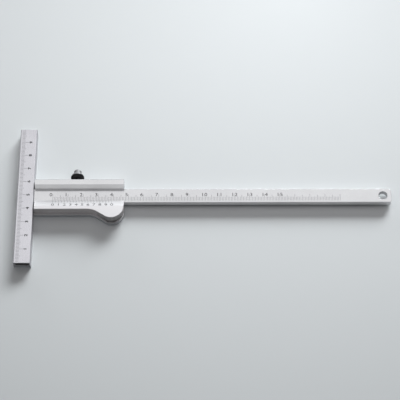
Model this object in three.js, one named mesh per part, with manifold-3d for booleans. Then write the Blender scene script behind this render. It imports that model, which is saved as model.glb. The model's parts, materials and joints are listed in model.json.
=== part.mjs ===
// A T-type scriber gauge: a graduated beam with a scribing point slides through a head,
// whose T-shaped fence is held against the edge of the work. A vernier face on the head reads the
// beam, and a clamp screw in the rear rail locks it.
//
// Units are millimetres. While the pieces are made, X = 0 is the guiding face of the fence and X
// grows towards the hanging hole of the beam, Y = 0 is the centre line of the beam, and Z = 0 is
// the sole of the head. At the end the whole gauge is moved so that X = 0 is the middle of its length.

import * as THREE from "three";
import { mergeVertices } from "three/addons/utils/BufferGeometryUtils.js";
import Module from "manifold-3d";

const wasm = await Module();
wasm.setup();

// Clearances that the whole gauge shares
const slide_clearance = 0.1; // between the beam and what guides it
const seat_gap = 0.05; // between pieces that are screwed together
const screw_clearance = 0.1; // round a screw in its hole
const overrun = 1; // how far a cutting solid runs past the face it cuts

// The beam
const beam_length = 247.6; // from the scribing point to the far end
const beam_width = 10;
const beam_thickness = 4;
const beam_underside = 1.4; // height of the beam over the sole
const beam_edge = 0.2; // chamfer of its edges
const beam_corner = 1; // radius of the corners of its far end
const hang_hole_radius = 3;
const hang_hole_inset = 5.5; // from the far end to the middle of the hole

// The scribing point
const tip_length = 6;
const tip_width = 3;
const tip_height = 1.6; // how deep it is let into the beam
const tip_reach = 0.5; // how far its point stands out of the end of the beam
const tip_drop = 0.45; // how far its point stands below the beam
const tip_lean = 0.7; // how far its front face leans back

// The stop under the beam
const stop_inset = 24.5; // from the far end to the stop, which leaves the beam a stroke of 150
const stop_head_radius = 2.2;
const stop_head_height = 1;
const stop_shank_radius = 1;
const stop_shank_length = 3;

// The fence
const fence_length = 100;
const fence_width = 11.2;
const fence_height = 6.8;
const channel_wall = 0.9;
const channel_bend = 0.8; // outer radius of the folded edges
const fence_block_length = 15;
const tip_pocket_margin = 0.3; // free space round the scribing point in the head

// The head plate and the slider
const plate_thickness = 2.8;
const plate_edge = 0.35; // chamfer round the sole of its leg
const head_gap = 0.5; // open slit between the fence and the slider
const slider_length = 59;
const slider_front = 11.7; // front face, from the centre line
const slider_back = 10.1; // back face, from the centre line

// The vernier block and its thumb rest
const vernier_height = 8.8;
const vernier_lip_overlap = 1; // how far the lip covers the beam
const vernier_lip_thickness = 0.25;
const vernier_bevel_run = 5.3;
const vernier_edge = 0.25; // chamfer round the top of the block
const thumb_radius = 8.2;
const thumb_reach = 18; // lowest point of the thumb rest, from the centre line
const thumb_flank_deg = 33;
const thumb_fillet = 12;
const grip_from_deg = -133;
const grip_to_deg = -31;
const grip_grooves = 16;
const grip_depth = 0.35;

// The rear rail
const rail_height = 10;
const rail_lip_overlap = 0.6; // how far the rail covers the beam
const rail_bevel_run = 1.65;
const rail_bevel_drop = 2.6;
const rail_edge = 0.4; // chamfer of its upper back edge

// The gib: a bowed spring strip and the two screws that set it
const gib_room = 0.9; // slot between the beam and the rail
const spring_thickness = 0.25;
const spring_end_inset = 2.5; // from each end of the slider to the end of the strip
const spring_foot = 0.2; // left under and over the strip
const gib_screw_radius = 1.25;
const gib_screw_recess = 0.5;
const gib_screw_shares = [0.2, 0.8]; // along the slider

// The clamp screw
const clamp_share = 0.471; // along the slider
const clamp_height = 4.8; // of its axis over the sole
const clamp_shank_radius = 1.5;
const pad_radius = 1.3;
const pad_length = 1.95;
const collar_radius = 4.4;
const collar_length = 3.4;
const collar_stand_off = 1.3; // from the back of the rail to the collar
const collar_edge = 0.4; // chamfer of its end near the rail
const collar_shoulder = 1.1; // length of the cone down to the foot of the cap
const knurl_teeth = 40;
const knurl_depth = 0.25;
const cap_foot_radius = 3.9;
const cap_radius = 2.2;
const cap_shoulder = 1.9; // length of its cone
const cap_length = 4.5;
const cap_edge = 0.5;
const cap_bore_depth = 1.3;

// The countersunk screws in the sole
const screw_radius = 1.25;
const screw_head_radius = 2.2;
const screw_head_recess = 0.1;
const screw_length = 5.2;
const screw_tip = 0.35; // chamfer of its end
const slot_width = 0.6;
const slot_depth = 0.6;
const hole_bottom = 0.5; // left free past the end of a screw
const fence_screw_shares = [0.27, 0.75]; // along a fence block
const vernier_screw_shares = [0.1, 0.5, 0.88]; // along the slider
const rail_screw_shares = [0.09, 0.35, 0.65, 0.91]; // along the slider

// How finely round shapes are divided
const round_sides = 32;
const screw_sides = 24;
const arc_steps = 20;
const bend_steps = 4;

// Places that follow from the sizes above
const beam_top = beam_underside + beam_thickness;
const beam_side = beam_width / 2;
const guide_side = beam_side + slide_clearance;
const guide_top = beam_top + slide_clearance;
const groove_floor = beam_underside - slide_clearance;
const gib_wall = beam_side + gib_room;
const block_foot = plate_thickness + seat_gap;
const slider_start = fence_width + head_gap;
const slider_end = slider_start + slider_length;
const rail_inner_middle = (gib_wall + slider_back) / 2;
const vernier_middle = (slider_front + guide_side) / 2;
const crossbar_start = channel_wall + seat_gap;
const crossbar_end = fence_width - channel_wall - seat_gap;
const tip_floor = beam_underside - tip_drop;

const alongSlider = (share) => slider_start + share * slider_length;

// Finishes
const metal = (color, roughness) =>
  new THREE.MeshStandardMaterial({ color, roughness, metalness: 1 });
const satin_chrome = metal(0xd8d8dc, 0.35);
const matt_chrome = metal(0xdededf, 0.45);
const ground_steel = metal(0xb9babd, 0.35);
const bright_steel = metal(0xc4c6c9, 0.2);
const hard_metal = metal(0x6f7378, 0.3);
const spring_bronze = metal(0xb08a52, 0.4);
const brass = metal(0xc9a554, 0.35);
const black_oxide = metal(0x17181a, 0.5);

// Every shape becomes a closed solid, so that it can be joined to others and cut by them.
function solid(geometry) {
  const bare = geometry.clone();
  bare.deleteAttribute("normal");
  bare.deleteAttribute("uv");
  const merged = mergeVertices(bare);
  return new wasm.Manifold(
    new wasm.Mesh({
      numProp: 3,
      vertProperties: new Float32Array(merged.attributes.position.array),
      triVerts: new Uint32Array(merged.index.array),
    }),
  );
}

function geometryOf(body) {
  const mesh = body.getMesh();
  const geometry = new THREE.BufferGeometry();
  geometry.setAttribute("position", new THREE.BufferAttribute(mesh.vertProperties, mesh.numProp));
  geometry.setIndex(new THREE.BufferAttribute(mesh.triVerts, 1));
  const faceted = geometry.toNonIndexed();
  faceted.computeVertexNormals();
  return faceted;
}

function cut(body, cutters) {
  return cutters.reduce((rest, cutter) => rest.subtract(cutter), body);
}

// A block between two opposite corners
function block([x0, y0, z0], [x1, y1, z1]) {
  const geometry = new THREE.BoxGeometry(x1 - x0, y1 - y0, z1 - z0);
  geometry.translate((x0 + x1) / 2, (y0 + y1) / 2, (z0 + z1) / 2);
  return solid(geometry);
}

// A plan outline, points of [x, y], raised from z0 to z1
function raised(outline, z0, z1) {
  const shape = new THREE.Shape(outline.map(([x, y]) => new THREE.Vector2(x, y)));
  const geometry = new THREE.ExtrudeGeometry(shape, { depth: z1 - z0, bevelEnabled: false });
  geometry.translate(0, 0, z0);
  return solid(geometry);
}

// The same with its rims chamfered at both ends
function raisedWithEdges(outline, z0, z1, edge) {
  const shape = new THREE.Shape(outline.map(([x, y]) => new THREE.Vector2(x, y)));
  const geometry = new THREE.ExtrudeGeometry(shape, {
    depth: z1 - z0 - 2 * edge,
    bevelSegments: 1,
    bevelSize: edge,
    bevelThickness: edge,
    bevelOffset: -edge,
  });
  geometry.translate(0, 0, z0 + edge);
  return solid(geometry);
}

// A cross-section, points of [y, z], drawn out along X
function drawnAlongX(section, x0, x1) {
  const shape = new THREE.Shape(section.map(([y, z]) => new THREE.Vector2(y, z)));
  const geometry = new THREE.ExtrudeGeometry(shape, { depth: x1 - x0, bevelEnabled: false });
  geometry.applyMatrix4(
    new THREE.Matrix4().makeBasis(
      new THREE.Vector3(0, 1, 0),
      new THREE.Vector3(0, 0, 1),
      new THREE.Vector3(1, 0, 0),
    ),
  );
  geometry.translate(x0, 0, 0);
  return solid(geometry);
}

// A cross-section, points of [x, z], drawn out along Y
function drawnAlongY(section, y0, y1) {
  const shape = new THREE.Shape(section.map(([x, z]) => new THREE.Vector2(x, z)));
  const geometry = new THREE.ExtrudeGeometry(shape, { depth: y1 - y0, bevelEnabled: false });
  geometry.applyMatrix4(
    new THREE.Matrix4().makeBasis(
      new THREE.Vector3(1, 0, 0),
      new THREE.Vector3(0, 0, 1),
      new THREE.Vector3(0, -1, 0),
    ),
  );
  geometry.translate(0, y1, 0);
  return solid(geometry);
}

// A turned piece: points of [radius, height], from foot to top, on a vertical axis
function turned(profile, sides) {
  const points = profile.map(([radius, height]) => new THREE.Vector2(radius, height));
  const geometry = new THREE.LatheGeometry(points, sides);
  geometry.rotateX(Math.PI / 2);
  return solid(geometry);
}

// Lays a turned piece down so that its height runs along +Y
function laidAlongY(body) {
  return body.rotate([-90, 0, 0]);
}

// A round bar or bore between two heights
function rod(radius, z0, z1, sides = round_sides) {
  return turned([[0, z0], [radius, z0], [radius, z1], [0, z1]], sides);
}

// The points of a part of a circle, in degrees
function arc([cx, cy], radius, from_deg, to_deg, steps) {
  const points = [];
  for (let i = 0; i <= steps; i += 1) {
    const angle = THREE.MathUtils.degToRad(from_deg + ((to_deg - from_deg) * i) / steps);
    points.push([cx + radius * Math.cos(angle), cy + radius * Math.sin(angle)]);
  }
  return points;
}

const gauge = new THREE.Group();
const head = new THREE.Group();
const beam_group = new THREE.Group();
const clamp = new THREE.Group();
gauge.add(head, beam_group, clamp);

function addPiece(group, name, body, material) {
  const mesh = new THREE.Mesh(geometryOf(body), material.clone());
  mesh.name = name;
  group.add(mesh);
  return mesh;
}

// The outline of the slider seen from above, from the front left corner round to the back left.
// The thumb rest is a round lobe that a straight flank and a hollow fillet lead into.
function sliderOutline(x0, front, back, grooves) {
  const flank = THREE.MathUtils.degToRad(thumb_flank_deg);
  const lobe = [slider_end - thumb_radius, thumb_radius - thumb_reach];
  const flank_foot = [
    lobe[0] - thumb_radius * Math.sin(flank),
    lobe[1] - thumb_radius * Math.cos(flank),
  ];
  const corner_x = flank_foot[0] - (-front - flank_foot[1]) / Math.tan(flank);
  const fillet_middle = [
    corner_x - thumb_fillet * Math.tan(flank / 2),
    -front - thumb_fillet,
  ];
  const fillet = arc(fillet_middle, thumb_fillet, 90, 90 - thumb_flank_deg, arc_steps / 4);
  const plain_rim = () => arc(lobe, thumb_radius, -90 - thumb_flank_deg, 0, arc_steps);
  const rim = grooves ? gripRim(lobe) : plain_rim();
  return [[x0, -front], ...fillet, ...rim, [slider_end, back], [x0, back]];
}

// The rim of the thumb rest with its finger grooves, every second point on the grooves' floor
function gripRim(lobe) {
  const flank_end = -90 - thumb_flank_deg;
  const lead = grip_from_deg > flank_end ? arc(lobe, thumb_radius, flank_end, flank_end, 0) : [];
  const points = 2 * grip_grooves;
  const crests = arc(lobe, thumb_radius, grip_from_deg, grip_to_deg, points);
  const floors = arc(lobe, thumb_radius - grip_depth, grip_from_deg, grip_to_deg, points);
  const teeth = crests.map((crest, i) => (i % 2 ? floors[i] : crest));
  const tail = arc(lobe, thumb_radius, grip_to_deg, 0, arc_steps / 4);
  return [...lead, ...teeth, ...tail.slice(1)];
}

// Countersunk screws and the holes that take them, on a vertical axis with the head in the sole
const screw_head_height = screw_head_radius - screw_radius;

function countersunkScrew() {
  const foot = screw_head_recess;
  const end = foot + screw_length;
  const body = turned(
    [
      [0, foot],
      [screw_head_radius, foot],
      [screw_radius, foot + screw_head_height],
      [screw_radius, end - screw_tip],
      [screw_radius - screw_tip, end],
      [0, end],
    ],
    screw_sides,
  );
  const slot = block(
    [-screw_head_radius - overrun, -slot_width / 2, foot - overrun],
    [screw_head_radius + overrun, slot_width / 2, foot + slot_depth],
  );
  return body.subtract(slot);
}

function screwHole() {
  const mouth = screw_head_radius + screw_head_recess + screw_clearance;
  const bore = screw_radius + screw_clearance;
  const end = screw_head_recess + screw_length + hole_bottom;
  return turned(
    [
      [0, -overrun],
      [mouth + overrun, -overrun],
      [mouth, 0],
      [bore, mouth - bore],
      [bore, end],
      [0, end],
    ],
    screw_sides,
  );
}

const fence_screws = [-1, 1].flatMap((side) =>
  fence_screw_shares.map((share) => [
    fence_width / 2,
    side * (guide_side + share * fence_block_length),
  ]),
);
const vernier_screws = vernier_screw_shares.map((share) => [alongSlider(share), -vernier_middle]);
const rail_screws = rail_screw_shares.map((share) => [alongSlider(share), rail_inner_middle]);

const holesAt = (places) => places.map(([x, y]) => screwHole().translate([x, y, 0]));

function addScrews(name, places) {
  places.forEach(([x, y], i) => {
    const screw = addPiece(head, `${name}_${i + 1}`, countersunkScrew(), ground_steel);
    screw.position.set(x, y, 0);
  });
}

// Head plate: crossbar under the fence, leg under the slider, a groove for the beam
function headPlate() {
  const crossbar = block(
    [crossbar_start, -fence_length / 2, 0],
    [crossbar_end, fence_length / 2, plate_thickness],
  );
  const leg_end = slider_end + overrun;
  const leg_outline = sliderOutline(crossbar_start, slider_front, slider_back, false);
  const leg_blank_top = plate_thickness + plate_edge + overrun;
  const leg = raisedWithEdges(leg_outline, 0, leg_blank_top, plate_edge).intersect(
    block([0, -thumb_reach - overrun, 0], [leg_end, slider_back + overrun, plate_thickness]),
  );
  const groove = block(
    [-overrun, -guide_side, groove_floor],
    [leg_end, gib_wall, plate_thickness + overrun],
  );
  const tip_side = tip_width / 2 + tip_pocket_margin;
  const tip_pocket = block(
    [-overrun, -tip_side, tip_floor - slide_clearance],
    [tip_length + tip_pocket_margin, tip_side, plate_thickness + overrun],
  );
  const holes = holesAt([...fence_screws, ...vernier_screws, ...rail_screws]);
  return cut(crossbar.add(leg), [groove, tip_pocket, ...holes]);
}

// Fence channel: folded sheet, open below and at both ends, with windows for beam and leg
function fenceChannel() {
  const left = arc([channel_bend, fence_height - channel_bend], channel_bend, 180, 90, bend_steps);
  const right = arc(
    [fence_width - channel_bend, fence_height - channel_bend],
    channel_bend,
    90,
    0,
    bend_steps,
  );
  const inner_top = fence_height - channel_wall;
  const section = [
    [0, 0],
    ...left,
    ...right,
    [fence_width, 0],
    [fence_width - channel_wall, 0],
    [fence_width - channel_wall, inner_top],
    [channel_wall, inner_top],
    [channel_wall, 0],
  ];
  const channel = drawnAlongY([...section].reverse(), -fence_length / 2, fence_length / 2);
  const beam_window = block(
    [-overrun, -guide_side, tip_floor - slide_clearance],
    [fence_width + overrun, guide_side, inner_top],
  );
  const leg_window = block(
    [fence_width / 2, -slider_front - seat_gap, -overrun],
    [fence_width + overrun, slider_back + seat_gap, plate_thickness + seat_gap],
  );
  return cut(channel, [beam_window, leg_window]);
}

// Fence blocks: fill the channel beside the beam and take the fence screws
function fenceBlock(side) {
  const near = side * guide_side;
  const far = side * (guide_side + fence_block_length);
  const body = block(
    [crossbar_start, Math.min(near, far), block_foot],
    [crossbar_end, Math.max(near, far), fence_height - channel_wall - seat_gap],
  );
  return cut(body, holesAt(fence_screws));
}

// Vernier block: the section gives the lip and the bevelled face, the outline the thumb rest
function vernierBlock() {
  const lip = -(beam_side - vernier_lip_overlap);
  const section = [
    [-guide_side, block_foot],
    [-guide_side, guide_top],
    [lip, guide_top],
    [lip, guide_top + vernier_lip_thickness],
    [lip - vernier_bevel_run, vernier_height],
    [-thumb_reach - overrun, vernier_height],
    [-thumb_reach - overrun, block_foot],
  ];
  const bar = drawnAlongX(section, slider_start, slider_end);
  const grooved_outline = sliderOutline(slider_start, slider_front, 0, true);
  const smooth_outline = sliderOutline(slider_start, slider_front, 0, false);
  const grooved = raised(grooved_outline, 0, vernier_height + overrun);
  const edged = raisedWithEdges(smooth_outline, 0, vernier_height, vernier_edge);
  return cut(bar.intersect(grooved).intersect(edged), holesAt(vernier_screws));
}

// Rear rail: a lip over the beam, a bevel along its top, and bores for the clamp and gib screws
function rearRail() {
  const lip = beam_side - rail_lip_overlap;
  const section = [
    [gib_wall, block_foot],
    [slider_back, block_foot],
    [slider_back, rail_height - rail_edge],
    [slider_back - rail_edge, rail_height],
    [lip + rail_bevel_run, rail_height],
    [lip, rail_height - rail_bevel_drop],
    [lip, guide_top],
    [gib_wall, guide_top],
  ];
  const rail = drawnAlongX(section, slider_start, slider_end);
  const boreAt = (share, radius, height) => {
    const bore = laidAlongY(rod(radius + screw_clearance, beam_side, slider_back + overrun));
    return bore.translate([alongSlider(share), 0, height]);
  };
  const clamp_bore = boreAt(clamp_share, clamp_shank_radius, clamp_height);
  const gib_bores = gib_screw_shares.map((share) => boreAt(share, gib_screw_radius, gib_screw_height));
  return cut(rail, [clamp_bore, ...gib_bores, ...holesAt(rail_screws)]);
}

// The gib screws press on the strip at the middle of the beam's rear edge, over the plate.
const gib_screw_height = block_foot + gib_screw_radius + screw_clearance;

function gibScrew() {
  const start = gib_wall;
  const end = slider_back - gib_screw_recess;
  const body = turned(
    [
      [0, start],
      [gib_screw_radius - screw_tip, start],
      [gib_screw_radius, start + screw_tip],
      [gib_screw_radius, end],
      [0, end],
    ],
    screw_sides,
  );
  const slot = block(
    [-gib_screw_radius - overrun, -slot_width / 2, end - slot_depth],
    [gib_screw_radius + overrun, slot_width / 2, end + overrun],
  );
  return laidAlongY(body.subtract(slot));
}

// Leaf spring: a flat strip whose middle bows towards the beam
function leafSpring() {
  const middle = slider_start + slider_length / 2;
  const half_length = slider_length / 2 - spring_end_inset;
  const inner_y = beam_side + slide_clearance;
  const bow = gib_room - 2 * slide_clearance - spring_thickness;
  const face = (offset) => {
    const points = [];
    for (let i = 0; i <= arc_steps; i += 1) {
      const share = (2 * i) / arc_steps - 1;
      points.push([middle + share * half_length, inner_y + offset + bow * share * share]);
    }
    return points;
  };
  const outline = [...face(0), ...face(spring_thickness).reverse()];
  return raised(outline, groove_floor + spring_foot, guide_top - spring_foot);
}

// Beam: a flat bar with fine chamfers and two rounded corners, the hanging hole, a seat for the
// point and for the stop
const stop_place = beam_length - stop_inset;

function beam() {
  const bottom = beam_underside;
  const corner_x = beam_length - beam_corner;
  const corner_y = beam_side - beam_corner;
  const outline = [
    [tip_reach, -beam_side],
    ...arc([corner_x, -corner_y], beam_corner, -90, 0, bend_steps),
    ...arc([corner_x, corner_y], beam_corner, 0, 90, bend_steps),
    [tip_reach, beam_side],
  ];
  const bar = raisedWithEdges(outline, bottom, beam_top, beam_edge);
  const hang_hole = rod(hang_hole_radius, bottom - overrun, beam_top + overrun, 2 * round_sides);
  const tip_side = tip_width / 2 + seat_gap;
  const tip_seat = block(
    [-overrun, -tip_side, bottom - overrun],
    [tip_length + seat_gap, tip_side, bottom + tip_height + seat_gap],
  );
  const stop_hole = rod(
    stop_shank_radius + screw_clearance,
    bottom - overrun,
    bottom + stop_shank_length + screw_clearance,
    screw_sides,
  );
  return cut(bar, [
    hang_hole.translate([beam_length - hang_hole_inset, 0, 0]),
    tip_seat,
    stop_hole.translate([stop_place, 0, 0]),
  ]);
}

// Scribing point: pointed in plan, its front leans back and only its point reaches below the beam
function scriberTip() {
  const side = tip_width / 2;
  const plan = [
    [0, 0],
    [side, -side],
    [tip_length, -side],
    [tip_length, side],
    [side, side],
  ];
  const top = beam_underside + tip_height;
  const profile = [
    [0, tip_floor],
    [tip_lean, tip_floor],
    [tip_lean + tip_drop, beam_underside],
    [tip_length, beam_underside],
    [tip_length, top],
    [tip_lean, top],
  ];
  const blank = raised(plan, tip_floor - overrun, top + overrun);
  return blank.intersect(drawnAlongY(profile, -tip_width, tip_width));
}

// Stop screw: a flat head under the beam
function stopScrew() {
  const shank_end = beam_underside + stop_shank_length;
  const head_top = beam_underside - seat_gap;
  const body = turned(
    [
      [0, head_top - stop_head_height],
      [stop_head_radius - screw_tip, head_top - stop_head_height],
      [stop_head_radius, head_top - stop_head_height + screw_tip],
      [stop_head_radius, head_top],
      [stop_shank_radius, head_top],
      [stop_shank_radius, shank_end],
      [0, shank_end],
    ],
    screw_sides,
  );
  const slot = block(
    [-stop_head_radius - overrun, -slot_width / 2, -overrun],
    [stop_head_radius + overrun, slot_width / 2, head_top - stop_head_height + slot_depth],
  );
  return body.subtract(slot);
}

// Clamp: pad, shank, knurled collar and turned cap, all on one axis along Y
const clamp_x = alongSlider(clamp_share);
const pad_start = beam_side + 2 * slide_clearance + spring_thickness;
const pad_end = pad_start + pad_length;
const shank_start = pad_end + screw_clearance;
const collar_start = slider_back + collar_stand_off;
const collar_end = collar_start + collar_length;
const cap_start = collar_end + seat_gap;
const shank_end = cap_start + cap_bore_depth - screw_clearance;

function clampPad() {
  const body = turned(
    [
      [0, pad_start],
      [pad_radius - screw_tip, pad_start],
      [pad_radius, pad_start + screw_tip],
      [pad_radius, pad_end],
      [0, pad_end],
    ],
    screw_sides,
  );
  return laidAlongY(body);
}

function clampShank() {
  const body = turned(
    [
      [0, shank_start],
      [clamp_shank_radius - screw_tip, shank_start],
      [clamp_shank_radius, shank_start + screw_tip],
      [clamp_shank_radius, shank_end],
      [0, shank_end],
    ],
    round_sides,
  );
  return laidAlongY(body);
}

function clampCollar() {
  const teeth = [];
  for (let i = 0; i < 2 * knurl_teeth; i += 1) {
    const angle = (Math.PI * i) / knurl_teeth;
    const radius = i % 2 ? collar_radius - knurl_depth : collar_radius;
    teeth.push([radius * Math.cos(angle), radius * Math.sin(angle)]);
  }
  const knurled = raised(teeth, collar_start, collar_end);
  const rim = turned(
    [
      [0, collar_start],
      [collar_radius - collar_edge, collar_start],
      [collar_radius, collar_start + collar_edge],
      [collar_radius, collar_end - collar_shoulder],
      [cap_foot_radius, collar_end],
      [0, collar_end],
    ],
    2 * knurl_teeth,
  );
  const bore_radius = clamp_shank_radius + screw_clearance;
  const bore = rod(bore_radius, collar_start - overrun, collar_end + overrun);
  return laidAlongY(knurled.intersect(rim).subtract(bore));
}

function clampCap() {
  const body = turned(
    [
      [0, cap_start],
      [cap_foot_radius, cap_start],
      [cap_foot_radius, cap_start + cap_edge],
      [cap_radius, cap_start + cap_shoulder],
      [cap_radius, cap_start + cap_length - cap_edge],
      [cap_radius - cap_edge, cap_start + cap_length],
      [0, cap_start + cap_length],
    ],
    round_sides,
  );
  const bore_radius = clamp_shank_radius + screw_clearance;
  const bore = rod(bore_radius, cap_start - overrun, cap_start + cap_bore_depth);
  return laidAlongY(body.subtract(bore));
}

addPiece(head, "head_plate", headPlate(), ground_steel);
addPiece(head, "fence_channel", fenceChannel(), satin_chrome);
addPiece(head, "fence_block_front", fenceBlock(-1), ground_steel);
addPiece(head, "fence_block_rear", fenceBlock(1), ground_steel);
addPiece(head, "vernier_block", vernierBlock(), matt_chrome);
addPiece(head, "rear_rail", rearRail(), satin_chrome);
addPiece(head, "leaf_spring", leafSpring(), spring_bronze);
addScrews("fence_screw", fence_screws);
addScrews("vernier_screw", vernier_screws);
addScrews("rail_screw", rail_screws);
gib_screw_shares.forEach((share, i) => {
  const screw = addPiece(head, `gib_screw_${i + 1}`, gibScrew(), ground_steel);
  screw.position.set(alongSlider(share), 0, gib_screw_height);
});

addPiece(beam_group, "beam", beam(), satin_chrome);
addPiece(beam_group, "scriber_tip", scriberTip(), hard_metal);
addPiece(beam_group, "stop_screw", stopScrew(), ground_steel).position.set(stop_place, 0, 0);

addPiece(clamp, "clamp_pad", clampPad(), brass);
addPiece(clamp, "clamp_shank", clampShank(), bright_steel);
addPiece(clamp, "clamp_collar", clampCollar(), black_oxide);
addPiece(clamp, "clamp_cap", clampCap(), bright_steel);
clamp.position.set(clamp_x, 0, clamp_height);

gauge.position.set(-beam_length / 2, 0, 0);

export default gauge;
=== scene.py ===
# %% [markdown]
# # Dressing a scriber gauge
# A scriber gauge marks lines parallel to an edge. Its T-shaped head is held against the work, a
# graduated beam slides through the head, and a hard point at the end of the beam draws the line.
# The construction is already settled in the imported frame: this lesson gives each piece its
# rounded edges, its engraved scales and its finish, and sets up the light and the camera.
# Loading the frame first means that every later piece can be measured from it and never drifts.

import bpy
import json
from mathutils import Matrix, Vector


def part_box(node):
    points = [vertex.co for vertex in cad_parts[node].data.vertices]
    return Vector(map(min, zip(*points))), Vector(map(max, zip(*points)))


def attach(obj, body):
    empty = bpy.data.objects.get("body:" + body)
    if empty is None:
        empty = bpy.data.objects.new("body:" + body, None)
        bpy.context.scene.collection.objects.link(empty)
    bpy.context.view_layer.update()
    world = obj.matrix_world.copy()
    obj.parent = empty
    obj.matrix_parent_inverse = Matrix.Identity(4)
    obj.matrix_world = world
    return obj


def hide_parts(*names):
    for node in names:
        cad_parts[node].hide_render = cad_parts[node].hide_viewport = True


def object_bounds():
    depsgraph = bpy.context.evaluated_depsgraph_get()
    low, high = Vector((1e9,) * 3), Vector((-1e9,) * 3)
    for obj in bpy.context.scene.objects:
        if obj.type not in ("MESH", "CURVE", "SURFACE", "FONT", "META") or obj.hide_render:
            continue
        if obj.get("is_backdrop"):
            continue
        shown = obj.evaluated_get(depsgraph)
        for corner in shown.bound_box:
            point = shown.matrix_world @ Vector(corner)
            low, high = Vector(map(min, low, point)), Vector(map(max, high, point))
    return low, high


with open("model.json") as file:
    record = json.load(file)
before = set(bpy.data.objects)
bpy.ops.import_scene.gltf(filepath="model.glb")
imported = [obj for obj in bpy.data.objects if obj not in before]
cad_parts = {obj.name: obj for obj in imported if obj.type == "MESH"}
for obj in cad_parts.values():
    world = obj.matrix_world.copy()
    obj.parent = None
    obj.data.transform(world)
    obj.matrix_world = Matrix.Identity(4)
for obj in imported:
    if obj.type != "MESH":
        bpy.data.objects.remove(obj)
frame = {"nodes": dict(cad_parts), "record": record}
cad_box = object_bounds()
print("the gauge fills", [round(1000 * side, 1) for side in cad_box[1] - cad_box[0]], "mm")

# %% Tools of the trade
import json
import math

import bmesh
import bpy
from mathutils import Matrix, Vector

MM = 0.001
scene = bpy.context.scene
scene.view_settings.view_transform = "Standard"

behaviour = frame["record"]["behaviour"]
body_of = {node: body for body, nodes in behaviour["bodies"].items() for node in nodes}

# %% [markdown]
# ## The camera
# The photograph was taken from in front and above, about a metre away. Its lens and place were
# worked out from the gauge's own scales, whose millimetres are the best ruler in the picture.
# A long lens is used here as there, because it keeps the beam's edges nearly parallel.

# %% Camera
frame_pixels = 400
focal_pixels = 1556.9
sensor_width = 36
camera_place = Vector((-3.5, -489.4, 912.2)) * MM
camera_aim = Vector((-2.8, -0.5, 0)) * MM

camera_data = bpy.data.cameras.new("camera")
camera_data.sensor_width = sensor_width
camera_data.lens = sensor_width * focal_pixels / frame_pixels
camera = bpy.data.objects.new("camera", camera_data)
camera.location = camera_place
camera.rotation_euler = (camera_aim - camera_place).to_track_quat("-Z", "Y").to_euler()
scene.collection.objects.link(camera)
scene.camera = camera
print("lens", round(camera_data.lens, 1), "mm")

# %% [markdown]
# ## The table
# The gauge lies on a plain pale board, matt and faintly mottled. The photograph's table grows a
# little darker away from the back right. A near lamp would do that too, but it would burn out
# the table beside it in other views, so a pool of light is painted into the board's colour
# instead: paler at the back right, darker away from it.

# %% Table
table_reach = 6.0
table_drop = 0.02 * MM
table_color = (0.757, 0.77, 0.784)
mottle_repeats = 60
mottle_share = 0.99
table_rough = 0.85
table_gloss = 0.2
# a pool of light painted into the board's colour: its middle, how far it reaches, and its brightest and
# dimmest shares
painted_light_centre = (0.062, 0.180, 0)
painted_light_radius = 0.38
painted_light_shares = (1.24, 0.655)


def new_material(name):
    """A node material, its node tree and its main shader."""
    material = bpy.data.materials.new(name)
    material.use_nodes = True
    return material, material.node_tree, material.node_tree.nodes["Principled BSDF"]


def table_finish():
    """Pale matt board with a faint mottle and a painted pool of light, paler at the back right."""
    material, tree, shader = new_material("table_board")
    place = tree.nodes.new("ShaderNodeTexCoord")
    mottle = tree.nodes.new("ShaderNodeTexNoise")
    mottle.inputs["Scale"].default_value = mottle_repeats
    ramp = tree.nodes.new("ShaderNodeValToRGB")
    ramp.color_ramp.elements[0].color = (*(mottle_share * part for part in table_color), 1)
    ramp.color_ramp.elements[1].color = (*table_color, 1)
    tree.links.new(place.outputs["Object"], mottle.inputs["Vector"])
    tree.links.new(mottle.outputs["Fac"], ramp.inputs["Fac"])
    # painted light: the mottled colour is scaled from the pool's brightest share at its middle to its dimmest
    # at its edge
    reach = tree.nodes.new("ShaderNodeVectorMath")
    reach.operation = "DISTANCE"
    reach.inputs[1].default_value = painted_light_centre
    fade = tree.nodes.new("ShaderNodeMapRange")
    fade.inputs["From Max"].default_value = painted_light_radius
    fade.inputs["To Min"].default_value = painted_light_shares[0]
    fade.inputs["To Max"].default_value = painted_light_shares[1]
    shade = tree.nodes.new("ShaderNodeVectorMath")
    shade.operation = "SCALE"
    tree.links.new(place.outputs["Object"], reach.inputs[0])
    tree.links.new(reach.outputs["Value"], fade.inputs["Value"])
    tree.links.new(ramp.outputs["Color"], shade.inputs[0])
    tree.links.new(fade.outputs["Result"], shade.inputs["Scale"])
    tree.links.new(shade.outputs["Vector"], shader.inputs["Base Color"])
    shader.inputs["Roughness"].default_value = table_rough
    shader.inputs["Specular IOR Level"].default_value = table_gloss
    return material


corners = [(-table_reach, -table_reach), (table_reach, -table_reach)]
corners += [(table_reach, table_reach), (-table_reach, table_reach)]
table_mesh = bpy.data.meshes.new("table")
table_mesh.from_pydata([(x, y, -table_drop) for x, y in corners], [], [(0, 1, 2, 3)])
table_mesh.materials.append(table_finish())
table = bpy.data.objects.new("table", table_mesh)
scene.collection.objects.link(table)
table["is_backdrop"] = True
print("table", 2 * table_reach, "m wide,", table_drop / MM, "mm under the sole")

# %% [markdown]
# ## The lights
# The light is plain and soft. The key is a row of three far lamps, low behind the gauge on the
# right. It works like a window across the room: it lights the whole table evenly and throws a
# soft shadow towards the front left. One large lamp stands high behind, where the top faces
# mirror it, and weak ones overhead, on the left, low behind and in front fill the rest. Metal
# shows its surroundings, so for metal the placing of the lights matters more than their strength.
# Each lamp's power is worked out from the share of the table's light that it should give, which
# is easier to judge than watts: when all shares, with the world's, add up to one, a colour shows
# about as it is written.

# %% Two kinds of lamp


def direction(azimuth, elevation):
    """The unit vector towards an azimuth, in degrees from +Y towards +X, and an elevation."""
    turn, rise = math.radians(azimuth), math.radians(elevation)
    return Vector((math.sin(turn) * math.cos(rise), math.cos(turn) * math.cos(rise), math.sin(rise)))


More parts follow.
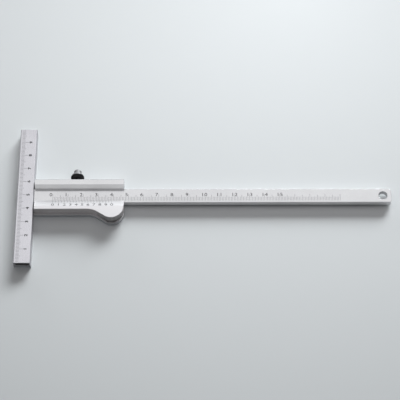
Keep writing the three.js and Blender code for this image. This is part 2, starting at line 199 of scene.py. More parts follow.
def soft_light(name, azimuth, elevation, distance, width, height, share, color):
    """A lamp of width by height that faces the gauge and gives a share of the table's light."""
    data = bpy.data.lights.new(name, "AREA")
    data.shape = "RECTANGLE"
    data.size = width
    data.size_y = height
    data.energy = share * (math.pi * distance) ** 2 / math.sin(math.radians(elevation))
    data.color = color
    lamp = bpy.data.objects.new(name, data)
    lamp.location = direction(azimuth, elevation) * distance
    lamp.rotation_euler = (-lamp.location).to_track_quat("-Z", "Y").to_euler()
    lamp.visible_camera = False
    scene.collection.objects.link(lamp)


def far_lights(name, azimuth, elevation, spread, roll, count, disc, share, color):
    """A row of far lamps, each disc degrees wide, spread along an arc that a roll tilts."""
    middle = direction(azimuth, elevation)
    facing = middle.to_track_quat("Z", "Y").to_matrix()
    along = facing @ Matrix.Rotation(math.radians(roll), 3, "Z") @ Vector((1, 0, 0))
    for index in range(count):
        swing = math.radians(spread) * (index / (count - 1) - 0.5)
        towards = middle * math.cos(swing) + along * math.sin(swing)
        data = bpy.data.lights.new(f"{name}_{index + 1}", "SUN")
        data.angle = math.radians(disc)
        data.energy = share / count * math.pi / towards.z
        data.color = color
        lamp = bpy.data.objects.new(data.name, data)
        lamp.location = towards
        lamp.rotation_euler = towards.to_track_quat("Z", "Y").to_euler()
        scene.collection.objects.link(lamp)


# %% Lights
pale_blue = (0.945, 0.99, 1.0)
white = (1.0, 1.0, 1.0)
far_lights("key", azimuth=21, elevation=23, spread=22, roll=22, count=3, disc=19, share=0.62, color=pale_blue)

# name, azimuth, elevation, distance, width, height, share of the table's light, colour
soft_lamps = [
    ("low_fill", -25, 12, 2.4, 0.68, 0.38, 0.030, pale_blue),
    ("high_back", 0, 62, 1.3, 1.90, 0.75, 0.165, white),
    ("overhead", 0, 86, 1.3, 1.05, 0.55, 0.030, white),
    ("left_fill", -70, 50, 1.3, 0.95, 0.60, 0.040, white),
    ("front_card", 180, 12, 1.2, 1.00, 0.25, 0.002, white),
]
for lamp_row in soft_lamps:
    soft_light(*lamp_row)

# %% [markdown]
# ## The world
# The world has two jobs: as a light it fills the shadows, and it is what the camera and the metal
# see beyond the table. Light Path tells the two apart. So the world is dim as a light, which
# keeps the gauge's shadow on the table, and pale where the camera or a mirror looks at it.

# %% World
world_color = (0.985, 0.99, 1.0)
world_as_light = 0.12
world_as_seen = 0.68


def paint_world(light_strength, seen_strength, color):
    """Dim as a light, pale where the camera, a mirror or a clear piece looks at it."""
    world = bpy.data.worlds.new("studio")
    world.use_nodes = True
    scene.world = world
    tree = world.node_tree
    background = tree.nodes["Background"]
    background.inputs["Color"].default_value = (*color, 1)
    path = tree.nodes.new("ShaderNodeLightPath")
    seen = path.outputs["Is Camera Ray"]
    for ray in ("Is Glossy Ray", "Is Transmission Ray"):
        either = tree.nodes.new("ShaderNodeMath")
        either.operation = "MAXIMUM"
        tree.links.new(seen, either.inputs[0])
        tree.links.new(path.outputs[ray], either.inputs[1])
        seen = either.outputs["Value"]
    strength = tree.nodes.new("ShaderNodeMapRange")
    strength.inputs["To Min"].default_value = light_strength
    strength.inputs["To Max"].default_value = seen_strength
    tree.links.new(seen, strength.inputs["Value"])
    tree.links.new(strength.outputs["Result"], background.inputs["Strength"])


paint_world(world_as_light, world_as_seen, world_color)

# %% [markdown]
# ## Finishes
# Measuring tools are satin chromed so that they don't glare: the plating follows a fine blasted
# or brushed ground. In nodes that is a metal with a middling roughness, a fine noise that is
# stretched along the strokes, and a slow noise for handling marks. One function makes them all,
# and each finish has its own row of numbers, so that one can be changed without the rest.
# Ground sides are rougher than the plated tops, so the sides have finishes of their own. Several
# of them also have a tone set lighter or darker than their tops, which paints in light and shade.

# %% A brushed metal
stroke_detail = 4.0
handling_repeats = 45
handling_detail = 3.0
tint_range = (0.35, 0.65)
gloss_range = (0.3, 0.7)
relief_strength = 0.5


def brushed(name, light, dark, rough, stroke, depth):
    """A metal brushed along one way: stroke holds the noise's repeats per metre on X, Y and Z."""
    material, tree, shader = new_material(name)
    nodes, links = tree.nodes, tree.links
    shader.inputs["Metallic"].default_value = 1.0
    place = nodes.new("ShaderNodeTexCoord")
    stretch = nodes.new("ShaderNodeMapping")
    stretch.inputs["Scale"].default_value = stroke
    strokes = nodes.new("ShaderNodeTexNoise")
    strokes.inputs["Scale"].default_value = 1.0
    strokes.inputs["Detail"].default_value = stroke_detail
    handling = nodes.new("ShaderNodeTexNoise")
    handling.inputs["Scale"].default_value = handling_repeats
    handling.inputs["Detail"].default_value = handling_detail
    tint = nodes.new("ShaderNodeValToRGB")
    for stop, place_on_ramp, color in zip(tint.color_ramp.elements, tint_range, (dark, light)):
        stop.position = place_on_ramp
        stop.color = (*color, 1)
    gloss = nodes.new("ShaderNodeMapRange")
    gloss.inputs["From Min"].default_value = gloss_range[0]
    gloss.inputs["From Max"].default_value = gloss_range[1]
    gloss.inputs["To Min"].default_value = rough[0]
    gloss.inputs["To Max"].default_value = rough[1]
    relief = nodes.new("ShaderNodeBump")
    relief.inputs["Strength"].default_value = relief_strength
    relief.inputs["Distance"].default_value = depth
    links.new(place.outputs["Object"], stretch.inputs["Vector"])
    links.new(place.outputs["Object"], handling.inputs["Vector"])
    links.new(stretch.outputs["Vector"], strokes.inputs["Vector"])
    links.new(handling.outputs["Fac"], tint.inputs["Fac"])
    links.new(tint.outputs["Color"], shader.inputs["Base Color"])
    links.new(strokes.outputs["Fac"], gloss.inputs["Value"])
    links.new(gloss.outputs["Result"], shader.inputs["Roughness"])
    links.new(strokes.outputs["Fac"], relief.inputs["Height"])
    links.new(relief.outputs["Normal"], shader.inputs["Normal"])
    return material


# %% [markdown]
# ## Paint and oxide
# The collar of the clamp screw has a black oxide skin, and the scales are dark paint rubbed into
# engraved lines. Both are dull, dark and a little speckled, so one function makes them. A black
# without the speckle would be simpler, but close up it would look like a hole in the metal.

# %% A dark paint or oxide
speckle_repeats = 1500
speckle_share = 2.2


def enamel(name, color, rough, gloss_level):
    """The dark paint that is rubbed into engraved lines, or a dark oxide skin."""
    material, tree, shader = new_material(name)
    shader.inputs["Specular IOR Level"].default_value = gloss_level
    place = tree.nodes.new("ShaderNodeTexCoord")
    speckle = tree.nodes.new("ShaderNodeTexNoise")
    speckle.inputs["Scale"].default_value = speckle_repeats
    shade = tree.nodes.new("ShaderNodeValToRGB")
    shade.color_ramp.elements[0].color = (*color, 1)
    shade.color_ramp.elements[1].color = (*(speckle_share * part for part in color), 1)
    gloss = tree.nodes.new("ShaderNodeMapRange")
    gloss.inputs["To Min"].default_value = rough[0]
    gloss.inputs["To Max"].default_value = rough[1]
    tree.links.new(place.outputs["Object"], speckle.inputs["Vector"])
    tree.links.new(speckle.outputs["Fac"], shade.inputs["Fac"])
    tree.links.new(speckle.outputs["Fac"], gloss.inputs["Value"])
    tree.links.new(shade.outputs["Color"], shader.inputs["Base Color"])
    tree.links.new(gloss.outputs["Result"], shader.inputs["Roughness"])
    return material


# %% [markdown]
# ## The list of finishes
# Every finish is one row of numbers, named for what it covers. Brushing leaves its strokes along
# a piece, so long pieces have strokes along their length and blasted ones have none.

# %% The finishes
along_x = (180, 5200, 5200)
along_y = (5200, 180, 5200)
even = (5200, 5200, 5200)

# light and dark tone, least and greatest roughness, way of the strokes, depth of the relief in metres
metals = {
    "satin_chrome": ((0.51, 0.51, 0.52), (0.48, 0.48, 0.49), (0.20, 0.27), along_x, 3e-6),
    "fence_chrome": ((0.46, 0.455, 0.48), (0.43, 0.425, 0.45), (0.24, 0.31), along_y, 3e-6),
    # painted light: the rail's front sides are rougher ground, with a tone set lighter than the top's
    "rail_side_painted_light": ((0.83, 0.83, 0.84), (0.77, 0.77, 0.78), (0.46, 0.56), along_x, 4e-6),
    "fence_side": ((0.55, 0.55, 0.57), (0.51, 0.51, 0.53), (0.38, 0.48), along_y, 4e-6),
    # painted light: the block's sides are rougher, with a tone set a little lighter than its top's
    "block_side_painted_light": ((0.53, 0.51, 0.515), (0.49, 0.47, 0.475), (0.50, 0.60), even, 4e-6),
    # painted shade: the grooved front of the thumb rest gets a darker tone than the block's other sides
    "grip_side_painted_shade": ((0.42, 0.41, 0.415), (0.38, 0.37, 0.375), (0.50, 0.60), even, 4e-6),
    # painted shade: the plate's ledge gets a darker tone than the rest of the ground plate
    "ledge_painted_shade": ((0.34, 0.335, 0.34), (0.30, 0.295, 0.30), (0.45, 0.55), even, 4e-6),
    # painted light: the beam's front side is rougher ground, with a tone set lighter than the top's
    "beam_side_painted_light": ((0.72, 0.72, 0.73), (0.66, 0.66, 0.67), (0.56, 0.66), along_x, 4e-6),
    "vernier_face": ((0.475, 0.465, 0.475), (0.45, 0.44, 0.45), (0.36, 0.42), even, 2e-6),
    "matt_chrome": ((0.475, 0.465, 0.475), (0.45, 0.44, 0.45), (0.42, 0.52), even, 3e-6),
    "ground_steel": ((0.62, 0.63, 0.65), (0.54, 0.55, 0.57), (0.30, 0.42), along_x, 5e-6),
    "bright_steel": ((0.38, 0.38, 0.39), (0.33, 0.33, 0.34), (0.16, 0.24), along_x, 2e-6),
    # painted shade: a near black for the walls in the slits beside the fence and for the plate's top under
    # the block
    "painted_shade_dark": ((0.10, 0.10, 0.10), (0.06, 0.06, 0.06), (0.45, 0.60), even, 5e-6),
    "cap_steel": ((0.215, 0.215, 0.22), (0.18, 0.18, 0.185), (0.55, 0.65), along_x, 2e-6),
    "hard_metal": ((0.27, 0.28, 0.30), (0.22, 0.23, 0.25), (0.22, 0.34), along_x, 3e-6),
    "spring_bronze": ((0.62, 0.43, 0.23), (0.52, 0.35, 0.18), (0.28, 0.40), along_x, 3e-6),
    "brass": ((0.74, 0.58, 0.28), (0.66, 0.50, 0.23), (0.24, 0.36), even, 3e-6),
}

# tone, least and greatest roughness, share of the gloss
paints = {
    "black_oxide": ((0.003, 0.003, 0.0035), (0.40, 0.52), 0.08),
    "scale_paint": ((0.012, 0.012, 0.013), (0.45, 0.65), 0.2),
}
finishes = {name: brushed(name, *row) for name, row in metals.items()}
finishes.update({name: enamel(name, *row) for name, row in paints.items()})
print(len(finishes), "finishes")

# %% [markdown]
# ## Rounded edges
# No machined edge is perfectly sharp, and the thin bright line along an edge is what makes metal
# look solid. The frame's solids are built from triangles with dead-sharp edges. So each one is
# copied, its triangles are joined back into flat faces, and a bevel modifier rounds the edges
# that turn by more than a set angle. Weighted normals then keep the flat faces flat.
# Modelling every piece again by hand would work too, but it could drift from the frame.

# %% Copy a solid
weld = 0.002 * MM
flat_angle = 0.6


def joined_faces(node, cut_height=None):
    """A copy of a frame node as a bmesh, its triangles joined into flat faces and cut at a height."""
    shape = bmesh.new()
    shape.from_mesh(frame["nodes"][node].data)
    bmesh.ops.remove_doubles(shape, verts=shape.verts, dist=weld)
    bmesh.ops.dissolve_limit(
        shape, angle_limit=math.radians(flat_angle), verts=shape.verts, edges=shape.edges
    )
    if cut_height:
        parts = shape.verts[:] + shape.edges[:] + shape.faces[:]
        bmesh.ops.bisect_plane(shape, geom=parts, plane_co=(0, 0, cut_height), plane_no=(0, 0, 1))
    return shape


def new_piece(name, shape):
    """Turns a bmesh into a scene object."""
    mesh = bpy.data.meshes.new(name)
    shape.to_mesh(mesh)
    shape.free()
    piece = bpy.data.objects.new(name, mesh)
    scene.collection.objects.link(piece)
    return piece


# %% Round its edges
rounding_angle = 24
edge_segments = 2


def apply_modifiers(piece):
    """Writes what the modifiers make into the mesh itself."""
    graph = bpy.context.evaluated_depsgraph_get()
    mesh = bpy.data.meshes.new_from_object(piece.evaluated_get(graph), depsgraph=graph)
    piece.modifiers.clear()
    piece.data = mesh


def round_edges(piece, radius):
    """Rounds every edge that turns by more than the rounding angle."""
    bevel = piece.modifiers.new("rounded edges", "BEVEL")
    bevel.width = radius
    bevel.segments = edge_segments
    bevel.limit_method = "ANGLE"
    bevel.angle_limit = math.radians(rounding_angle)
    bevel.use_clamp_overlap = True
    bevel.miter_outer = "MITER_ARC"
    piece.data.shade_smooth()
    flat = piece.modifiers.new("flat faces", "WEIGHTED_NORMAL")
    flat.keep_sharp = True
    apply_modifiers(piece)


# %% [markdown]
# ## Finished and in place
# A finished piece stands in for one solid of the frame, moves with that solid's body and belongs
# to its material. One function says all three, so that none can be forgotten. It also gives each
# face its finish: the piece's own, unless a test picks the face out for another. Where several
# tests do, the last one in the list wins.

# %% Finish it and put it in its place
def dress(piece, node, finish, others=()):
    """Puts a finished piece in a node's place; others holds (finish, test) pairs for some faces."""
    piece.data.materials.clear()
    for name in [finish] + [name for name, test in others]:
        piece.data.materials.append(finishes[name])
    for face in piece.data.polygons:
        fitting = [index for index, (name, test) in enumerate(others, 1) if test(face)]
        face.material_index = fitting[-1] if fitting else 0
    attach(piece, body_of[node])
    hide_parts(node)


# %% [markdown]
# ## Second finishes
# A face can differ from the rest of its piece, such as a ground side, the vernier's bevel or the
# wall of a slit, which is painted dark as shade. Some sides also carry painted light or shade in
# their tone. A small test on the face's direction and place finds it. Choosing faces by hand
# would work too, but a test still works when a size changes.

# %% Which faces differ
# a face's direction is a unit vector, and each test sets a limit to one or two of its parts
side_up_limit = 0.2
end_left_limit = 0.9
top_up_limit = 0.99
front_limit = 0.4
bevel_back_limit = 0.4
bevel_up_limit = 0.2

channel_low, channel_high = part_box("fence_channel")
slit_depth = 0.4 * MM
slit_height = channel_high.z - slit_depth
grip_start = -13.5 * MM


def upright(face):
    """True for a side face."""
    return abs(face.normal.z) < side_up_limit


def faces_up(face):
    """True for a flat top."""
    return face.normal.z > top_up_limit


def faces_front(face):
    """True for a side or a bevel that faces the front."""
    return face.normal.y < -front_limit


def slopes_to_back(face):
    """True for the vernier's bevel."""
    return face.normal.y > bevel_back_limit and face.normal.z > bevel_up_limit


def in_slit(face):
    """True for the low part of an end that stands close to the fence."""
    return face.normal.x < -end_left_limit and face.center.z < slit_height


def on_grip(face):
    """True for the grooved front of the thumb rest."""
    return upright(face) and face.center.y < grip_start


# %% [markdown]
# ## The plate's ledge
# The real head plate stands a little proud of the block above it and shows as a thin line of
# light along the front. Extruding the plate's front sides makes that ledge without redrawing
# its outline, and the amount fades by itself where the outline turns away. The extrusion lists
# its faces in another order in each run, so the plate is then built again in a fixed order.

# %% A ledge
plate_ledge = 1.3 * MM
plate_front = -11 * MM
ledge_gap = 0.1 * MM
ledge_start = channel_high.x + ledge_gap
ledge_front_limit = 0.15


def rebuild_in_order(shape):
    """Builds a bmesh again with its faces in the order of their points, from the last one down."""
    shape.verts.index_update()
    places = [vert.co.copy() for vert in shape.verts]
    outlines = [[vert.index for vert in face.verts] for face in shape.faces]
    shape.clear()
    points = [shape.verts.new(place) for place in places]
    for outline in sorted(outlines, key=sorted, reverse=True):
        shape.faces.new([points[index] for index in outline])


def add_ledge(shape, depth, left, front):
    """Lets a plate's front stand proud by a depth, right of one place on X and before one on Y."""
    parts = shape.verts[:] + shape.edges[:] + shape.faces[:]
    bmesh.ops.bisect_plane(shape, geom=parts, plane_co=(left, 0, 0), plane_no=(1, 0, 0))
    shape.normal_update()
    sides = []
    for face in shape.faces:
        middle = face.calc_center_median()
        if face.normal.y < -ledge_front_limit and middle.y < front and middle.x > left:
            sides.append(face)
    grown = bmesh.ops.extrude_face_region(shape, geom=sides)["geom"]
    moved = [part for part in grown if isinstance(part, bmesh.types.BMVert)]
    bmesh.ops.translate(shape, verts=moved, vec=(0, -depth, 0))
    rebuild_in_order(shape)
    print("ledge:", len(sides), "sides moved")


def on_ledge(face):
    """True for the plate's ledge before the vernier block."""
    return faces_up(face) and face.center.y < plate_front


# %% [markdown]
# ## The prismatic pieces
# Plates, bars, blocks and strips are all finished the same way, so one loop does them. The list
# gives each its finish and the radius of its edges, which is smaller on thin or small pieces.
# Only the slits beside the fence need a cut in the solid, because their painted shade ends at a
# height and not at an edge.

# %% Plates, bars and blocks
# the low walls beside the fence and the plate's top take a near black as painted shade, and the plate's ledge
# a darker tone as painted shade
slit_painted_shade = ("painted_shade_dark", in_slit)
plate_finishes = [("painted_shade_dark", faces_up), ("ledge_painted_shade", on_ledge)]
block_finishes = [
    ("vernier_face", slopes_to_back),
    ("block_side_painted_light", upright),
    ("grip_side_painted_shade", on_grip),
    slit_painted_shade,
]

# node, radius of its edges in millimetres, finish, further finishes with the tests for their faces
prismatic = [
    ("head_plate", 0.08, "ground_steel", plate_finishes),
    ("fence_channel", 0.08, "fence_chrome", [("fence_side", upright)]),
    ("fence_block_front", 0.10, "ground_steel", []),
    ("fence_block_rear", 0.10, "ground_steel", []),
    ("vernier_block", 0.05, "matt_chrome", block_finishes),
    ("rear_rail", 0.06, "satin_chrome", [("rail_side_painted_light", faces_front), slit_painted_shade]),
    ("leaf_spring", 0.04, "spring_bronze", []),
    ("beam", 0.05, "satin_chrome", [("beam_side_painted_light", faces_front)]),
    ("scriber_tip", 0.04, "hard_metal", []),
]
for node, radius, finish, others in prismatic:
    shape = joined_faces(node, slit_height if slit_painted_shade in others else None)
    if node == "head_plate":
        add_ledge(shape, plate_ledge, ledge_start, plate_front)
    piece = new_piece(node + "_finished", shape)
    round_edges(piece, radius * MM)
    dress(piece, node, finish, others)
    print(piece.name, len(piece.data.polygons), "faces")

# %% [markdown]
# ## Screws
# The sole's countersunk screws and the two gib screws have slotted heads. They show only when the
# gauge is turned over or seen from behind, but a closer look should still find a crisp slot with
# a broken edge.

# %% Slotted screws
screw_edge = 0.05 * MM
slotted = [node for node in body_of if "screw" in node]
for node in slotted:
    piece = new_piece(node + "_finished", joined_faces(node))
    round_edges(piece, screw_edge)
    dress(piece, node, "ground_steel")
print(len(slotted), "screws")

# %% [markdown]
# ## The clamp screw
# The thumb screw is a black knurled collar with a bright turned cap. A turned piece is a profile
# spun round an axis, so it is built that way: rings of points, one for each step of the profile.
# The knurl and the thread come from the same rings, by letting the radius change with the angle.
# A bevel modifier would round the profile's corners as well, but it would spoil the knurl, so the
# corners are softened in the profile before it is spun.

# %% Turned pieces
clamp_low, clamp_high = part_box("clamp_shank")
clamp_axis = (clamp_low + clamp_high) / 2
# a curve may take up to this share of each line beside its corner
edge_share_limit = 0.45


def span(node):
    """Where a node of the clamp begins and ends on Y, and its greatest radius."""
    low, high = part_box(node)
    return low.y, high.y, (high.x - low.x) / 2


def softened(profile, radius, steps=3):
    """A profile of (radius, height) points whose inner corners are replaced by small curves."""
    points = [profile[0]]
    for before, here, after in zip(profile, profile[1:], profile[2:]):
        corner = Vector(here)
        into, out = Vector(before) - corner, Vector(after) - corner
        reach = min(radius, edge_share_limit * into.length, edge_share_limit * out.length)
        start, end = corner + into.normalized() * reach, corner + out.normalized() * reach
        for step in range(steps + 1):
            share = step / steps
            low, high = start.lerp(corner, share), corner.lerp(end, share)
            points.append(tuple(low.lerp(high, share)))
    points.append(profile[-1])
    return points


def spun(name, profile, sides, radius_at=None):
    """Spins a profile of (radius, height) about the clamp's axis, heights being places on Y."""
    shape = bmesh.new()
    rings = []
    for radius, height in profile:
        ring = []
        for side in range(sides):
            angle = math.tau * side / sides
            here = radius_at(radius, height, angle) if radius_at else radius
            x = clamp_axis.x + here * math.cos(angle)
            z = clamp_axis.z + here * math.sin(angle)
            ring.append(shape.verts.new((x, height, z)))
        rings.append(ring)
    for low, high in zip(rings, rings[1:]):
        for side in range(sides):
            after = (side + 1) % sides
            shape.faces.new((low[side], high[side], high[after], low[after]))
    shape.faces.new(rings[0])
    shape.faces.new(list(reversed(rings[-1])))
    bmesh.ops.recalc_face_normals(shape, faces=shape.faces)
    piece = new_piece(name, shape)
    piece.data.shade_smooth()
    return piece


# %% [markdown]
# ## The thread
# The shank's thread climbs 0.5 mm in each turn. A real spiral of faces needs care at both ends.
# Here each ring is pushed in by the thread's depth at the angle where the groove passes, which
# gives the same look, and the piece stays closed.

# %% The thread
thread_pitch = 0.5 * MM
thread_depth = 0.27 * MM
thread_chamfer = 0.35 * MM
steps_per_turn = 10
shank_sides = 40
shank_start, shank_end, shank_radius = span("clamp_shank")


def core_radius(height):
    """The shank's radius before the thread is cut, smaller in the chamfer at its start."""
    return shank_radius - max(0.0, thread_chamfer - (height - shank_start))


def threaded(radius, height, angle):
    """A V thread that climbs one pitch in each turn and fades into the chamfered end."""
    turn = (height / thread_pitch + angle / math.tau) % 1
    return radius - thread_depth * abs(2 * turn - 1)


steps = round((shank_end - shank_start) / thread_pitch * steps_per_turn)
climb = [shank_start + (shank_end - shank_start) * step / steps for step in range(steps + 1)]
shank_profile = [(core_radius(height), height) for height in climb]
shank = spun("clamp_thread", shank_profile, shank_sides, threaded)
dress(shank, "clamp_shank", "bright_steel")
print("thread of", steps, "steps")

# %% [markdown]
# ## The collar
# The fingers turn the black collar, so it carries a straight knurl, which on the real one is
# rolled or cut into the rim. A wave of the radius with the angle makes all grooves at once, and it
# runs out by itself where the profile turns in at the collar's edges.

# %% The collar
knurl_teeth = 40
knurl_depth = 0.25 * MM
sides_per_tooth = 8
bore_gap = 0.1 * MM
collar_edge = 0.4 * MM
collar_softening = 0.15 * MM
collar_start, collar_end, collar_radius = span("clamp_collar")
collar_bore = shank_radius + bore_gap


def knurled(radius, height, angle):
    """Straight grooves all round, which run out at the collar's turned edges."""
    groove = 0.5 - 0.5 * math.cos(knurl_teeth * angle)
    full = collar_radius - knurl_depth
    if radius <= full:
        return radius
    return full + (radius - full) * (1 - groove)


collar_outline = [
    (collar_bore, collar_start),
    (collar_radius - collar_edge, collar_start),
    (collar_radius, collar_start + collar_edge),
    (collar_radius, collar_end - collar_edge),
    (collar_radius - collar_edge, collar_end),
    (collar_bore, collar_end),
]
collar_profile = softened(collar_outline, collar_softening)
collar = spun("clamp_collar_knurled", collar_profile, sides_per_tooth * knurl_teeth, knurled)
dress(collar, "clamp_collar", "black_oxide")
print("knurl of", knurl_teeth, "teeth")

# %% [markdown]
# ## The cap and the pad
# The bright cap in the collar's end and the brass pad at the shank's tip are plain turned pieces,
# so their profiles are spun without a wave. The cap is made a little fuller than the frame's
# solid, because the photograph shows a fuller knob.

# %% The cap and the pad
# each closed end stops a hair off the axis, where a ring of no size couldn't carry a face
near_axis = 0.0001 * MM
cap_radius = 2.55 * MM
cap_shoulder = 1.9 * MM
cap_foot_edge = 0.5 * MM
cap_edge = 0.9 * MM
turned_softening = 0.35 * MM
cap_sides = 96
pad_sides = 48

cap_start, cap_end, cap_foot = span("clamp_cap")
cap_outline = [
    (near_axis, cap_start),
    (cap_foot, cap_start),
    (cap_foot, cap_start + cap_foot_edge),
    (cap_radius, cap_start + cap_shoulder),
    (cap_radius, cap_end - cap_edge),
    (cap_radius - cap_edge, cap_end),
    (near_axis, cap_end),
]
cap = spun("clamp_cap_turned", softened(cap_outline, turned_softening, steps=4), cap_sides)
dress(cap, "clamp_cap", "cap_steel")

pad_start, pad_end, pad_radius = span("clamp_pad")
pad_outline = [
    (near_axis, pad_start),
    (pad_radius, pad_start),
    (pad_radius, pad_end),
    (near_axis, pad_end),
]
pad = spun("clamp_pad_turned", softened(pad_outline, turned_softening), pad_sides)
dress(pad, "clamp_pad", "brass")
print("cap", round(2 * cap_radius / MM, 2), "mm across, pad", round(2 * pad_radius / MM, 2), "mm")

# %% [markdown]
# ## The scales
# The lines and numbers on the real gauge are engraved and filled with black paint. Cutting
# hundreds of grooves with booleans is slow and fragile, so the paint itself is the piece here:
# thin slivers that sit in the surface and stand a hair above it, one object for each scale.
# Each scale has its own flat grid, u along the scale and v across it, and a matrix lays the
# grid on the metal, so the vernier's tilted face needs no other code than the flat ones.

# %% Lines of ink
ink_height = 0.02 * MM
ink_root = 0.05 * MM
ink_weld = 1e-7
line_width = 0.14 * MM


def grid(origin, u, v):
    """The matrix that lays a flat scale on the metal: u along the scale, v across it."""
    u, v = Vector(u).normalized(), Vector(v).normalized()
    turn = Matrix((u, v, u.cross(v))).transposed().to_4x4()
    return Matrix.Translation(origin) @ turn


def tick_length(index, lengths):
    """The long, middle or short length, for every tenth, fifth or other line."""
    long, middle, short = lengths
    if index % 10 == 0:
        return long
    return middle if index % 5 == 0 else short


def add_line(ink, place, u, v_from, v_to, width=line_width):
    """One graduation: a thin closed bar from v_from to v_to at u."""
    corners = []
    for height in (-ink_root, ink_height):
        for side_u, v in ((-1, v_from), (1, v_from), (1, v_to), (-1, v_to)):
            corners.append(ink.verts.new(place @ Vector((u + side_u * width / 2, v, height))))
    bottom, top = corners[:4], corners[4:]
    ink.faces.new(list(reversed(bottom)))
    ink.faces.new(top)
    for side in range(4):
        after = (side + 1) % 4
        ink.faces.new((bottom[side], bottom[after], top[after], top[side]))


def finish_scale(name, ink, body):
    """Closes a scale's mesh, paints it and lets it ride."""
    bmesh.ops.remove_doubles(ink, verts=ink.verts, dist=ink_weld)
    bmesh.ops.recalc_face_normals(ink, faces=ink.faces)
    piece = new_piece(name, ink)
    piece.data.materials.append(finishes["scale_paint"])
    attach(piece, body)
    print(name, len(piece.data.polygons), "faces")


# %% [markdown]
# ## Numbers
# A text object gives each digit its shape, and its mesh is squeezed to the height of the paint.
# The digits are placed one by one at an even pitch, as an engraver does with a set of stencils.
# A whole number in one text object would be quicker, but its digits would stand too close.

# %% Numbers of ink
number_stretch = 1.15
number_pitch = 2.2 * MM
curve_steps = 4


def digit_mesh(digit, height, weight):
    """The closed mesh of a digit, height tall, drawn with a bold or fine weight and centred."""
    letters = bpy.data.curves.new("number", "FONT")
    letters.body = digit
    letters.size = 1.0
    letters.align_x = "CENTER"
    letters.resolution_u = curve_steps
    letters.extrude = 1.0
    letters.offset = weight
    holder = bpy.data.objects.new("number", letters)
    scene.collection.objects.link(holder)
    graph = bpy.context.evaluated_depsgraph_get()
    mesh = bpy.data.meshes.new_from_object(holder.evaluated_get(graph), depsgraph=graph)
    bpy.data.objects.remove(holder)
    bpy.data.curves.remove(letters)
    lows = [min(point.co[axis] for point in mesh.vertices) for axis in range(3)]
    highs = [max(point.co[axis] for point in mesh.vertices) for axis in range(3)]
    scale = height / (highs[1] - lows[1])
    for point in mesh.vertices:
        x = (point.co.x - (lows[0] + highs[0]) / 2) * scale * number_stretch
        y = (point.co.y - (lows[1] + highs[1]) / 2) * scale
        point.co = (x, y, ink_height if point.co.z > 0 else -ink_root)
    return mesh


def add_number(ink, place, number, u, v, height, weight=0.0):
    """One number whose first digit is centred at (u, v), the next ones a pitch further on."""
    for cell, digit in enumerate(str(number)):
        mesh = digit_mesh(digit, height, weight)
        mesh.transform(place @ Matrix.Translation((u + cell * number_pitch, v, 0)))
        ink.from_mesh(mesh)
        bpy.data.meshes.remove(mesh)


# %% [markdown]
# ## The main scale
# The beam's scale has a line for every millimetre, and numbers for the centimetres as far as the
# beam can slide. Its zero lies at the vernier's zero, because a reading of zero puts the scribing
# point flush with the fence. The engraver set the numbers a little to the left of their lines, so
# they have a shift.

# %% The main scale
beam_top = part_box("beam")[1].z
zero_from_fence = 23.7 * MM
zero_x = channel_low.x + zero_from_fence
main_length = 190
main_numbers = 15
main_lengths = (4.9 * MM, 4.3 * MM, 2.95 * MM)
main_line_foot = -3.9 * MM
main_number_line = 0.7 * MM
main_number_height = 2.4 * MM
main_number_shift = -1.35 * MM
two_digit_indent = 0.35 * MM

main_place = grid((zero_x, 0, beam_top), (1, 0, 0), (0, 1, 0))
main_ink = bmesh.new()
for index in range(main_length + 1):
    line_end = main_line_foot + tick_length(index, main_lengths)
    add_line(main_ink, main_place, index * MM, main_line_foot, line_end)
for number in range(main_numbers + 1):
    u = 10 * number * MM + main_number_shift + (two_digit_indent if number > 9 else 0)
    add_number(main_ink, main_place, number, u, main_number_line, main_number_height)
finish_scale("main_scale", main_ink, "beam")

# %% [markdown]
# ## The vernier
# The vernier divides 39 mm into 20 parts, each a twentieth of a millimetre shorter than two of
# the beam's. The line that meets a line of the beam gives the reading: every second line is
# longer and has a number, which counts tenths of a millimetre. The grid lies on the bevel and
# starts at the lip.

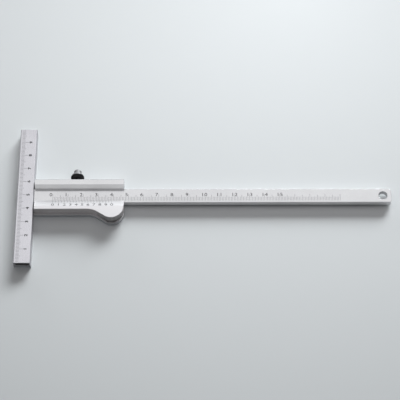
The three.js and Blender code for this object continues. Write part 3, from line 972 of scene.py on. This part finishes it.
# %% The vernier
land_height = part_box("vernier_block")[1].z
lip_back = -4.0 * MM
lip_height = 5.75 * MM
bevel_front = -9.3 * MM
lip_edge = Vector((zero_x, lip_back, lip_height))
bevel_top = Vector((zero_x, bevel_front, land_height))
vernier_length = 39 * MM
vernier_parts = 20
vernier_lengths = (2.75 * MM, 2.2 * MM)
lip_gap = 0.1 * MM
vernier_number_line = -4.75 * MM
vernier_number_height = 2.6 * MM
vernier_number_shift = 0.2 * MM

vernier_place = grid(lip_edge, (1, 0, 0), lip_edge - bevel_top)
vernier_ink = bmesh.new()
for index in range(vernier_parts + 1):
    u = vernier_length * index / vernier_parts
    add_line(vernier_ink, vernier_place, u, -vernier_lengths[index % 2], -lip_gap)
for index in range(0, vernier_parts + 1, 2):
    u = vernier_length * index / vernier_parts + vernier_number_shift
    number = index // 2 % 10
    add_number(vernier_ink, vernier_place, number, u, vernier_number_line, vernier_number_height)
finish_scale("vernier_scale", vernier_ink, "head")

# %% [markdown]
# ## The fence scale
# The fence has millimetres of its own along its outer edge. Its numbers stand upright for someone
# who looks along the beam towards the fence. They are small, so a bolder weight keeps them
# as black as the others.

# %% The fence scale
fence_edge = -1.3 * MM
fence_lengths = (4.6 * MM, 3.1 * MM, 2.2 * MM)
fence_line_width = 0.16 * MM
fence_number_line = -7.35 * MM
fence_digits = (2.1 * MM, 0.035)

fence_place = grid((channel_low.x, channel_low.y, channel_high.z), (0, 1, 0), (-1, 0, 0))
fence_ink = bmesh.new()
for index in range(1, round((channel_high.y - channel_low.y) / MM)):
    tip = fence_edge - tick_length(index, fence_lengths)
    add_line(fence_ink, fence_place, index * MM, tip, fence_edge, fence_line_width)
for number in range(1, 10):
    u = 10 * number * MM
    add_number(fence_ink, fence_place, number, u, fence_number_line, *fence_digits)
finish_scale("fence_scale", fence_ink, "head")

# %% [markdown]
# ## Check the size
# The dressed gauge must fill the same box as the frame, so the largest step of the dressed pieces
# outside the frame's box is printed.

# %% Compare the sizes
dressed_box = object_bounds()
growth = [max(0, a - b) for a, b in zip(cad_box[0], dressed_box[0])]
growth += [max(0, b - a) for a, b in zip(cad_box[1], dressed_box[1])]
print("largest step outside the frame's box:", round(1000 * max(growth), 4), "mm")
